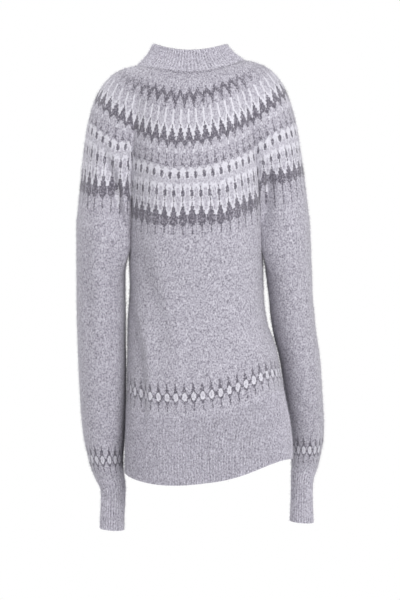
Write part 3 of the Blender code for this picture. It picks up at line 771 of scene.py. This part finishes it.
def addHem():
    for name, start in (("hem_rib_back", 0.0), ("hem_rib_front", math.pi)):
        columns = ribLook["hemRibs"] * detail["ribColumns"]
        angles = evenAngles(start, start + math.pi, columns, joins["hem"])
        upper = lowerEdge(angles, joins["ribSeam"])
        lower = lowerEdge(angles, joins["hem"])
        v = ribShares("hem")[:, None]
        level = upper * (1 - v) + lower * v
        grid = bodyPoints(angles + 0 * level, level)
        rise = smooth(v[:, 0] / ribLook["hemStart"])
        outer, inner = ribWall(grid, ribLook["hemHeight"], cloth["wall"], False, rise)
        outer, inner = drawnBack(outer, last=False), drawnBack(inner, last=False)
        for skin in (outer, inner):
            drawnBack(skin.swapaxes(0, 1))
        pieces[name] = addWall(name + "_knit", outer, inner, False, ribKnit(grid, False))


def addCuff(name, rows, side, seam, end):
    columns = ribLook["cuffRibs"] * detail["ribColumns"]
    angles = np.linspace(0, turn, columns, endpoint=False)
    v = ribShares("cuff")[:, None]
    roll = ribLook["cuffEndRoll"] * side * ribLook["cuffHalfWidth"] * np.cos(angles)
    level = seam * (1 - v) + end * v + v * roll
    grid = sleeveRing(rows, angles + 0 * level, level)
    rise = smooth(v[:, 0] / ribLook["cuffStart"])
    outer, inner = ribWall(grid, ribLook["cuffHeight"], cloth["wall"], True, rise)
    outer, inner = drawnBack(outer, last=False), drawnBack(inner, last=False)
    pieces[name] = addWall(name + "_knit", outer, inner, True, ribKnit(grid, True))


def addCollar():
    columns = ribLook["collarRibs"] * detail["ribColumns"]
    angles = np.linspace(0, turn, columns, endpoint=False)
    seam = collarRing(angles, "seam")
    rim = collarRing(angles, "rim")
    v = ribShares("collar")[:, None, None]
    grid = seam * (1 - v) + rim * v
    out = grid[:, :, :2] / np.linalg.norm(grid[:, :, :2], axis=2, keepdims=True)
    grid[:, :, :2] -= out * collarForm["hollow"] * np.sin(math.pi * v)
    rise = smooth(v[:, 0, 0] / ribLook["collarStart"])
    outer, inner = ribWall(grid, ribLook["collarHeight"], cloth["collarWall"], True, rise)
    foot = angles[::detail["ribColumns"]]
    lean = [np.interp(foot, yokeAngles, yokeNormals[0, :, k], period=turn) for k in range(3)]
    inner[0] = outer[0, ::detail["ribColumns"]] - np.stack(lean, axis=-1) * cloth["wall"]
    wideInner = np.repeat(inner[-1], detail["ribColumns"], axis=0)
    for share, height in rimOutside:
        added = outer[-1] + (wideInner - outer[-1]) * share
        added[:, 2] = grid[-1, :, 2] + height
        outer = np.concatenate([outer, added[None]])
    crests = []
    top = grid[-1, ::detail["ribColumns"]]
    for share, height in rimInside:
        crest = top * (1 - share) + inner[len(grid) - 1] * share
        crest[:, 2] = top[:, 2] + height
        crests.append(crest)
    inner = np.concatenate([inner, np.array(crests)])
    outer, inner = drawnBack(outer, last=False), drawnBack(inner, last=False)
    pieces["collar"] = addWall("collar_knit", outer, inner, True, ribKnit(outer, True))


addHem()
addCuff("cuff_left", sleeveLeft, 1, sleeveLook["leftSeam"], ribLook["leftEnd"])
addCuff("cuff_right", sleeveRight, -1, sleeveLook["rightSeam"], ribLook["rightEnd"])
addCollar()
print("ribbed edges")


# Node trees are written as sums: a Wire is one value that flows through a tree
class Wire:
    def __init__(self, tree, socket):
        self.tree, self.socket = tree, socket

    def math(self, operation, *others):
        values = dict(enumerate((self, *others)))
        return self.tree.add("ShaderNodeMath", {"operation": operation}, values)

    def __add__(self, other):
        return self.math("ADD", other)

    def __neg__(self):
        return self.math("MULTIPLY", -1.0)

    def __sub__(self, other):
        return self.math("SUBTRACT", other)

    def __mul__(self, other):
        return self.math("MULTIPLY", other)

    def __truediv__(self, other):
        return self.math("DIVIDE", other)

    def __mod__(self, other):
        return self.math("FLOORED_MODULO", other)

    def __lt__(self, other):
        return self.math("LESS_THAN", other)

    def __gt__(self, other):
        return self.math("GREATER_THAN", other)

    def __rsub__(self, other):
        return -self + other

    def __pow__(self, other):
        return self.math("POWER", other)

    def __abs__(self):
        return self.math("ABSOLUTE")

    __radd__ = __add__
    __rmul__ = __mul__

    def floor(self):
        return self.math("FLOOR")

    def either(self, other):
        return self.math("MAXIMUM", other)

    def atMost(self, other):
        return self.math("MINIMUM", other)


class Tree:
    def __init__(self, nodes):
        self.nodes = nodes

    def add(self, kind, settings=None, inputs=None, output=0):
        node = self.nodes.nodes.new(kind)
        for name, value in (settings or {}).items():
            setattr(node, name, value)
        for name, value in (inputs or {}).items():
            if isinstance(value, Wire):
                self.nodes.links.new(value.socket, node.inputs[name])
            else:
                node.inputs[name].default_value = value
        return Wire(self, node.outputs[output]) if node.outputs else None


# Whether a row is one of those from low up to high
def band(row, low, high):
    return (row > low - 0.5) * (row < high - 0.5)


def ellipse(row, aside, high, wide):
    return (row / high) ** 2.0 + (aside / wide) ** 2.0 < 1.0


def paint(tone, mask, shade):
    return tone + mask * (shade - tone)


# Tones of the yarns, from the dark one to the white one
tones = {
    "dark": 0.07,
    "grey": 0.5,
    "pale": 0.58,
    "white": 1.0,
}


# How often each part of the yoke's pattern repeats round the body, and its turn in repeats
repeats = {
    "zigzag": 47,
    "zigzagTurn": 0.21,
    "teeth": 62,
    "teethTurn": 0.0,
    "lower": 70,
    "lowerTurn": 0.12,
}

# The zigzag pales towards the sleeves, from this many stitches off the middle of the back or front
pales = {
    "from": 50.0,
    "over": 45.0,
    "zigzag": 0.3,
    "rays": 0.1,
}


# Distance in stitches from the nearest axis of a pattern that is eight stitches wide, in whole
# stitches or, for the softest lines, in parts of one
def fromAxis(u, part, whole=True):
    count = repeats[part] * 8.0 / yokeLook["stitches"]
    column = u * count - repeats[part + "Turn"] * 8.0
    column = column.floor() + 0.5 if whole else column
    return abs((column + 3.5) % 8.0 - 4.0)


# 0 in the middle of the back or front and 1 at the sleeves
def paleness(u):
    half = yokeLook["stitches"] / 2.0
    aside = abs((u + half / 2.0) % half - half / 2.0)
    return ((aside - pales["from"]) / pales["over"]).either(0.0).atMost(1.0)


# A dark zigzag with a drip from each lower point
def zigzagBand(tone, u, row):
    narrow = fromAxis(u, "zigzag")
    stroke = abs(row - (22.6 - narrow * 1.75)) < 3.0
    drip = (narrow < (31.5 - row) * 0.26) * band(row, 22, 32)
    return paint(tone, stroke.either(drip), paleness(u) * pales["zigzag"] + 0.08)


# White rays that end in white teeth, set into dark ones over a row of pale arches
def teethBand(tone, u, row):
    light = fromAxis(u, "teeth")
    dark = 4.0 - light
    soft = fromAxis(u, "teeth", whole=False)
    tone = paint(tone, band(row, 38, 64), tones["pale"])
    rays = (soft > 3.05).either(soft > (53.5 - row) * 0.45) * band(row, 33, 66)
    tone = paint(tone, rays, tones["white"] - paleness(u) * pales["rays"])
    lower = 65.5 + (dark / 4.0) ** 2.0 * 7.0
    arches = band(row, 65, 77) * (row > lower)
    tone = paint(tone, arches, tones["pale"])
    teeth = (dark < (row - 47.5) * 0.25) * (row < lower)
    tone = paint(tone, teeth, tones["dark"])
    return paint(tone, (light < 0.5) * band(row, 69, 77) * (row > lower), tones["white"])


# Thin dark streaks with small arrowheads
def streakBand(tone, u, row):
    dark = 4.0 - fromAxis(u, "lower")
    stem = (dark < 0.5) * band(row, 78, 93)
    head = (dark < (row - 83.0) * 0.35) * band(row, 84, 90)
    return paint(tone, stem.either(head), tones["dark"] + 0.1)


# White outlines round pale ovals, with two rows of dark dots
def latticeBand(tone, u, row):
    light = fromAxis(u, "lower")
    dark = 4.0 - light
    outlines = (row > dark * 1.1 + 90.5) * band(row, 90, 144)
    tone = paint(tone, outlines, tones["white"] - 0.06)
    small = abs(row - 104.5) / 7.5 + dark / 2.7 < 1.0
    small = small.either((light < 1.5) * band(row, 103, 108))
    tone = paint(tone, small, tones["pale"] + 0.04)
    tone = paint(tone, ellipse(row - 122.0, light, 12.0, 2.05), tones["pale"])
    dots = ellipse(row - 98.5, light, 4.0, 1.7).either(ellipse(row - 116.3, dark, 3.8, 1.9))
    tail = (dark < 0.5) * band(row, 110, 125)
    return paint(tone, dots.either(tail), tones["dark"])


# Dark diamonds, widest at their lower end, with a drip under each
def diamondBand(tone, u, row):
    dark = 4.0 - fromAxis(u, "lower")
    tone = paint(tone, band(row, 138, 147), tones["dark"] + 0.3)
    upper = (dark < (row - 125.5) * 0.26) * (dark < 3.6) * band(row, 126, 142)
    lower = ellipse(row - 141.0, dark, 9.2, 3.7) * (row > 140.5)
    drip = (dark < 0.5) * band(row, 149, 158)
    return paint(tone, upper.either(lower).either(drip), tones["dark"])


# Rows count down from the collar seam, where one darker line is painted shade of the seam's gap
# and overlap.
# Each light axis runs through a white tooth, and each dark axis midway between two of them.
def yokePattern(u, v):
    row = v.floor()
    # Painted shade: the rows at the collar seam are darker than the grey
    tone = paint(0.0 * row + tones["grey"], row < 0.5, tones["grey"] - 0.16)
    for addBand in (zigzagBand, teethBand, streakBand, latticeBand, diamondBand):
        tone = addBand(tone, u, row)
    return tone


# Ribs are paler on their crests than between them: painted shade in the valleys between the ribs
def ribPaintedShade(u, v):
    return tones["grey"] + 0.09 + 0.0 * v - abs(u % 2.0 - 1.0) * 0.2


# One row of white ovals ringed in dark, spiked above and below. Rows count up from the rib, and
# a repeat is borderRepeat stitches or borderWidth rows wide.
def borderPattern(u, v, look):
    repeat, width = look["borderRepeat"], look["borderWidth"]
    aside = abs((u + repeat / 2.0) % repeat - repeat / 2.0) * (width / repeat)
    up = v - look["borderRow"]
    tone = 0.0 * v + tones["grey"]
    above = (aside < (15.0 - up) * 0.19) * band(up, 3, 15)
    below = (aside < (up + 8.6) * 0.6) * band(up, -9, -3)
    drip = (aside < 0.65) * band(up, -13.5, -8)
    ring = ellipse(up, aside, 5.3, 3.35)
    knot = (abs(up) < 1.8) * (aside > width * 0.5 - 1.2)
    shape = above.either(below).either(drip).either(ring).either(knot)
    tone = paint(tone, shape, tones["dark"])
    tone = paint(tone, ellipse(up, aside, 4.1, 2.35), tones["white"] - 0.08)
    return paint(tone, ellipse(up, aside, 1.8, 1.0), tones["pale"] + 0.12)


woolLook = {
    "dark": (0.104, 0.095, 0.121),
    "grey": (0.380, 0.364, 0.420),
    "white": (0.635, 0.625, 0.680),
    "blend": 1.55,
    "pure": 1.9,
    "clumpScale": 430.0,
    "fibreScale": 950.0,
    "waverScale": 700.0,
    "cloudScale": 60.0,
    "noiseRoughness": 0.6,
    "upright": 0.75,
    "mottle": 0.30,
    "cloud": 0.16,
    "edgeFuzz": 2.6,
    "legSlant": 0.6,
    "stitchBump": 0.55,
    "clumpBump": 0.9,
    "fibreBump": 0.5,
    "bumpStrength": 0.8,
    "bumpDepth": 0.00045,
    "roughness": 0.92,
    "specular": 0.18,
    "sheen": 0.25,
    "sheenRoughness": 0.6,
}


# shade scales the whole colour: below 1 it is painted shade, above 1 painted light
def makeWool(name, pattern, shade=1.0):
    made = bpy.data.materials.new(name)
    made.use_nodes = True
    made.node_tree.nodes.clear()
    tree = Tree(made.node_tree)
    place = tree.add("ShaderNodeAttribute", {"attribute_name": "knit"}, output="Vector")
    split = tree.add("ShaderNodeSeparateXYZ", None, {0: place})
    u, v = split, Wire(tree, split.socket.node.outputs[1])
    spot = tree.add("ShaderNodeTexCoord", output="Object")
    spot = tree.add(
        "ShaderNodeVectorMath", {"operation": "MULTIPLY"},
        {0: spot, 1: (1.0, 1.0, woolLook["upright"])},
    )

    def noise(scale, depth, output="Fac"):
        inputs = {"Vector": spot, "Scale": scale, "Detail": depth}
        inputs["Roughness"] = woolLook["noiseRoughness"]
        return tree.add("ShaderNodeTexNoise", None, inputs, output)

    clump, fibre = noise(woolLook["clumpScale"], 1.0), noise(woolLook["fibreScale"], 1.0)
    cloud = noise(woolLook["cloudScale"], 2.0)
    waver = noise(woolLook["waverScale"], 1.0, "Color")
    shake = tree.add("ShaderNodeSeparateXYZ", None, {0: waver})
    shakeV = Wire(tree, shake.socket.node.outputs[1])
    blur = woolLook["edgeFuzz"] if pattern is not ribPaintedShade else 0.0
    tone = pattern(u + (shake - 0.5) * blur, v + (shakeV - 0.5) * blur)
    blend = woolLook["blend"] - (tone - tones["grey"]).either(0.0) * woolLook["pure"]
    tone = tone + (clump - 0.5) * blend
    ramp = made.node_tree.nodes.new("ShaderNodeValToRGB")
    stops = ramp.color_ramp.elements
    stops.new(0.5)
    for element, yarnTone in zip(stops, ("dark", "grey", "white")):
        element.color = (*woolLook[yarnTone], 1.0)
    made.node_tree.links.new(tone.socket, ramp.inputs[0])
    yarn = Wire(tree, ramp.outputs[0])
    grain = (fibre - 0.5) * woolLook["mottle"] + (cloud - 0.5) * woolLook["cloud"]
    # The colour times shade: painted shade or painted light over the whole piece
    colour = tree.add(
        "ShaderNodeVectorMath", {"operation": "SCALE"}, {0: yarn, "Scale": (grain + 1.0) * shade}
    )
    leg = abs(u - u.floor() - 0.5) * 2.0
    slant = (v + leg * woolLook["legSlant"]) % 1.0
    stitch = (leg * math.pi).math("SINE") * (slant * math.pi).math("SINE")
    height = stitch * woolLook["stitchBump"] + clump * woolLook["clumpBump"]
    bump = tree.add("ShaderNodeBump", None, {
        "Height": height + fibre * woolLook["fibreBump"],
        "Strength": woolLook["bumpStrength"],
        "Distance": woolLook["bumpDepth"],
    })
    shader = tree.add("ShaderNodeBsdfPrincipled", None, {
        "Base Color": colour,
        "Roughness": woolLook["roughness"],
        "Specular IOR Level": woolLook["specular"],
        "Sheen Weight": woolLook["sheen"],
        "Sheen Roughness": woolLook["sheenRoughness"],
        "Normal": bump,
    })
    tree.add("ShaderNodeOutputMaterial", None, {"Surface": shader})
    return made


def bodyBorder(u, v):
    return borderPattern(u, v, bodyLook)


def sleeveBorder(u, v):
    return borderPattern(u, v, sleeveLook)


# The sleeve wool is painted darker, as painted shade where the sleeves turn from the light, and
# the rib wool lighter, as painted light that makes up for the shade between its ribs
wool = {
    "yoke": makeWool("yoke_wool", yokePattern),
    "body": makeWool("body_wool", bodyBorder),
    "sleeve": makeWool("sleeve_wool", sleeveBorder, 0.97),
    "rib": makeWool("rib_wool", ribPaintedShade, 1.09),
}
woolOf = {
    "yoke": "yoke", "back": "body", "front": "body",
    "sleeve_left": "sleeve", "sleeve_right": "sleeve",
}
for name, piece in pieces.items():
    piece.data.materials.append(wool[woolOf.get(name, "rib")])
print("materials")

# Brushed surface: short bent fibres all over the outer side

fuzzLook = {
    "length": 4.2,
    "width": 0.13,
    "perSquareMetre": 170000.0,
    "tilt": 1.25,
    "smallest": 0.45,
    "largest": 1.25,
    "seed": 11,
}

# A fibre's outline as shares of its half width, of its length along the cloth and of that off it
fibreOutline = ((-1, 0, 0), (1, 0, 0), (-0.8, 0.12, 0.5), (0.8, 0.12, 0.5), (0, 0.42, 0.95))


def makeFibre():
    length, width = fuzzLook["length"] * mm, fuzzLook["width"] * mm
    points = [(width * x, length * y, length * z) for x, y, z in fibreOutline]
    mesh = bpy.data.meshes.new("fibre")
    mesh.from_pydata(points, [], [(0, 1, 3, 2), (2, 3, 4)])
    made = addObject("fibre", mesh)
    made.hide_render = True
    return made


def fuzzTree():
    group = bpy.data.node_groups.new("brushed_fibres", "GeometryNodeTree")
    face = group.interface
    face.new_socket("Surface", in_out="INPUT", socket_type="NodeSocketGeometry")
    density = face.new_socket("Density", in_out="INPUT", socket_type="NodeSocketFloat")
    seed = face.new_socket("Seed", in_out="INPUT", socket_type="NodeSocketInt")
    fibre = face.new_socket("Fibre", in_out="INPUT", socket_type="NodeSocketObject")
    cover = face.new_socket("Wool", in_out="INPUT", socket_type="NodeSocketMaterial")
    face.new_socket("Fibres", in_out="OUTPUT", socket_type="NodeSocketGeometry")
    tree = Tree(group)
    start = group.nodes.new("NodeGroupInput").outputs
    names = ("Surface", "Density", "Seed", "Fibre", "Wool")
    given = {name: Wire(tree, start[name]) for name in names}
    spread = tree.add("GeometryNodeDistributePointsOnFaces", {"distribute_method": "RANDOM"}, {
        "Mesh": given["Surface"], "Density": given["Density"], "Seed": given["Seed"],
    })
    facing = Wire(tree, spread.socket.node.outputs["Rotation"])
    shape = tree.add("GeometryNodeObjectInfo", None, {"Object": given["Fibre"]}, "Geometry")
    tilt = fuzzLook["tilt"]
    lean = tree.add("FunctionNodeRandomValue", {"data_type": "FLOAT_VECTOR"}, {
        0: (-tilt, -tilt, -math.pi), 1: (tilt, tilt, math.pi), "Seed": given["Seed"],
    })
    turnBy = tree.add("FunctionNodeEulerToRotation", None, {"Euler": lean})
    turned = tree.add("FunctionNodeRotateRotation", {"rotation_space": "LOCAL"}, {
        "Rotation": facing, "Rotate By": turnBy,
    })
    size = tree.add("FunctionNodeRandomValue", {"data_type": "FLOAT"}, {
        2: fuzzLook["smallest"], 3: fuzzLook["largest"], "Seed": given["Seed"],
    }, 1)
    placed = tree.add("GeometryNodeInstanceOnPoints", None, {
        "Points": spread, "Instance": shape, "Rotation": turned, "Scale": size,
    })
    real = tree.add("GeometryNodeRealizeInstances", None, {0: placed})
    dressed = tree.add("GeometryNodeSetMaterial", None, {
        "Geometry": real, "Material": given["Wool"],
    })
    tree.add("NodeGroupOutput", None, {"Fibres": dressed})
    return group, {"density": density, "seed": seed, "fibre": fibre, "cover": cover}


# The outer skin alone carries fibres: the faces whose middle is on the points added first
def outerSkin(piece):
    mesh = piece.data
    corners = np.array([layer.vector[:] for layer in mesh.uv_layers["knit"].uv])
    keep, spots = [], []
    limit = piece["outerPoints"]
    for polygon in mesh.polygons:
        if max(polygon.vertices) < limit:
            keep.append(tuple(polygon.vertices))
            spots.append(corners[polygon.loop_start:polygon.loop_start + polygon.loop_total])
    skin = bpy.data.meshes.new("skin")
    skin.from_pydata([vertex.co[:] for vertex in mesh.vertices[:limit]], [], keep)
    layer = skin.uv_layers.new(name="knit")
    layer.uv.foreach_set("vector", np.concatenate(spots).astype(np.float32).ravel())
    return addObject("skin", skin)


fibre = makeFibre()
group, inputs = fuzzTree()
fuzz = {}
for number, (name, piece) in enumerate(sorted(pieces.items())):
    skin = outerSkin(piece)
    modifier = skin.modifiers.new("fibres", "NODES")
    modifier.node_group = group
    modifier[inputs["density"].identifier] = fuzzLook["perSquareMetre"]
    modifier[inputs["seed"].identifier] = fuzzLook["seed"] + number
    modifier[inputs["fibre"].identifier] = fibre
    modifier[inputs["cover"].identifier] = wool[woolOf.get(name, "rib")]
    bpy.context.view_layer.update()
    shown = skin.evaluated_get(bpy.context.evaluated_depsgraph_get())
    mesh = bpy.data.meshes.new_from_object(shown)
    mesh.name = name + "_fibres"
    fuzz[name] = addObject(name + "_fibres", mesh)
    bpy.data.objects.remove(skin, do_unlink=True)
    print(name, "fibres", len(mesh.polygons))
bpy.data.objects.remove(fibre, do_unlink=True)
print("brushed surface")

# Each piece and its fibres hang from the root, and the frame's part of the same name is hidden
for name, piece in pieces.items():
    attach(piece, "root")
    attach(fuzz[name], "root")
    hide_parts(name)

# Studio: pale floor, white surround, soft lamps

studio = {
    "floorLevel": -1.42,
    "floorRadius": 2.3,
    "floorCorners": 64,
    "surround": 1.0,
    "surroundLight": 0.7,
    "lampPlace": (-1.4, 3.0, 1.5),
    "lampSize": 1.8,
    "lampPower": 112.0,
    "fillPlace": (2.2, -1.5, 1.2),
    "fillSize": 2.0,
    "fillPower": 60.0,
    "aim": (0, 0, -0.35),
}


def addFloor():
    mesh = bpy.data.meshes.new("floor")
    radius, level, corners = (studio["floor" + name] for name in ("Radius", "Level", "Corners"))
    angles = [k * turn / corners for k in range(corners)]
    ring = [(radius * math.cos(angle), radius * math.sin(angle), level) for angle in angles]
    mesh.from_pydata(ring, [], [tuple(range(corners))])
    pale = bpy.data.materials.new("pale_floor")
    pale.use_nodes = True
    shader = pale.node_tree.nodes["Principled BSDF"]
    shader.inputs["Base Color"].default_value = (0.82, 0.82, 0.83, 1.0)
    shader.inputs["Roughness"].default_value = 0.7
    mesh.materials.append(pale)
    floor = addObject("floor", mesh)


def addAimed(name, data, place, target):
    made = addObject(name, data)
    made.location = place
    aim = Vector(target) - Vector(place)
    made.rotation_euler = aim.to_track_quat("-Z", "Y").to_euler()
    return made


def addLamp(name):
    data = bpy.data.lights.new(name, "AREA")
    data.size, data.energy = studio[name + "Size"], studio[name + "Power"]
    addAimed(name, data, studio[name + "Place"], studio["aim"])


def addWorld():
    world = bpy.data.worlds.new("white_surround")
    world.use_nodes = True
    background = world.node_tree.nodes["Background"]
    background.inputs["Color"].default_value = (1.0, 1.0, 1.0, 1.0)
    tree = Tree(world.node_tree)
    seen = tree.add("ShaderNodeLightPath")
    strength = seen * (studio["surround"] - studio["surroundLight"]) + studio["surroundLight"]
    world.node_tree.links.new(strength.socket, background.inputs["Strength"])
    bpy.context.scene.world = world


addFloor()
addLamp("lamp")
addLamp("fill")
addWorld()

# Camera behind the sweater, just above level
view = {
    "target": (-0.021, 0.0, -0.393),
    "distance": 4.0,
    "elevation": 3.0,
    "lens": 141.2,
    "sensor": 36.0,
}
cameraData = bpy.data.cameras.new("camera")
cameraData.lens, cameraData.sensor_width = view["lens"], view["sensor"]
rise, target = math.radians(view["elevation"]), Vector(view["target"])
place = target + Vector((0, math.cos(rise), math.sin(rise))) * view["distance"]
bpy.context.scene.camera = addAimed("camera", cameraData, place, target)
bpy.context.scene.view_settings.view_transform = "Standard"
print("studio")
